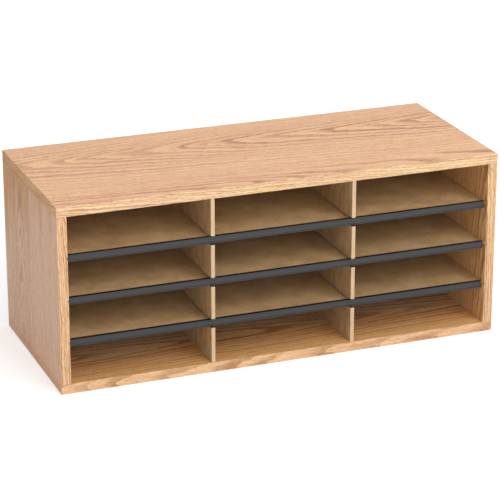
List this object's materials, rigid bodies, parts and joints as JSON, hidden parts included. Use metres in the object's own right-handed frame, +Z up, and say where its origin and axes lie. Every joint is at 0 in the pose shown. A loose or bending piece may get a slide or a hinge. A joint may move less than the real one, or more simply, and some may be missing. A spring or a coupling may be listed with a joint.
{
  "type": "literature organizer",
  "caption": "Desktop literature organizer: open-fronted oak case with upright dividers and full-width slide-in shelves that carry label strips.",
  "frame": {"origin": "on the underside of the bottom panel, at the middle of the footprint", "axes": "+X along the width, to the right seen from the front; the open front faces -Y; +Z up"},
  "size_m": [0.7366, 0.3048, 0.3048],
  "materials": {
    "oak_laminate": "satin oak-grain laminate on particleboard",
    "oak_edge_band": "satin oak veneer band, grain along its length",
    "divider_board": "smooth brown fibreboard with a pale front edge",
    "hardboard": "smooth tempered hardboard",
    "black_vinyl": "extruded black vinyl, semi-matte",
    "beech_dowel": "plain beech",
    "bright_steel": "bright drawn wire"
  },
  "bodies": {
    "case": {"bottom_panel": "oak_laminate", "top_panel": "oak_laminate", "left_side_panel": "oak_laminate", "right_side_panel": "oak_laminate", "bottom_front_edge_band": "oak_edge_band", "top_front_edge_band": "oak_edge_band", "left_front_edge_band": "oak_edge_band", "right_front_edge_band": "oak_edge_band", "bottom_left_end_band": "oak_edge_band", "bottom_right_end_band": "oak_edge_band", "top_left_end_band": "oak_edge_band", "top_right_end_band": "oak_edge_band", "divider_left": "divider_board", "divider_right": "divider_board", "back_panel": "hardboard", "back_panel_nails": "bright_steel", "bottom_left_dowels": "beech_dowel", "bottom_right_dowels": "beech_dowel", "top_left_dowels": "beech_dowel", "top_right_dowels": "beech_dowel"},
    "lower_shelf": {"shelf_lower": "hardboard", "label_strip_lower": "black_vinyl"},
    "middle_shelf": {"shelf_middle": "hardboard", "label_strip_middle": "black_vinyl"},
    "upper_shelf": {"shelf_upper": "hardboard", "label_strip_upper": "black_vinyl"}
  },
  "joints": [
    {"name": "lower_shelf_slide", "type": "slide", "parent": "case", "child": "lower_shelf", "axis": [0, -1, 0], "range_m": [0, 0.3]},
    {"name": "middle_shelf_slide", "type": "slide", "parent": "case", "child": "middle_shelf", "axis": [0, -1, 0], "range_m": [0, 0.3]},
    {"name": "upper_shelf_slide", "type": "slide", "parent": "case", "child": "upper_shelf", "axis": [0, -1, 0], "range_m": [0, 0.3]}
  ]
}
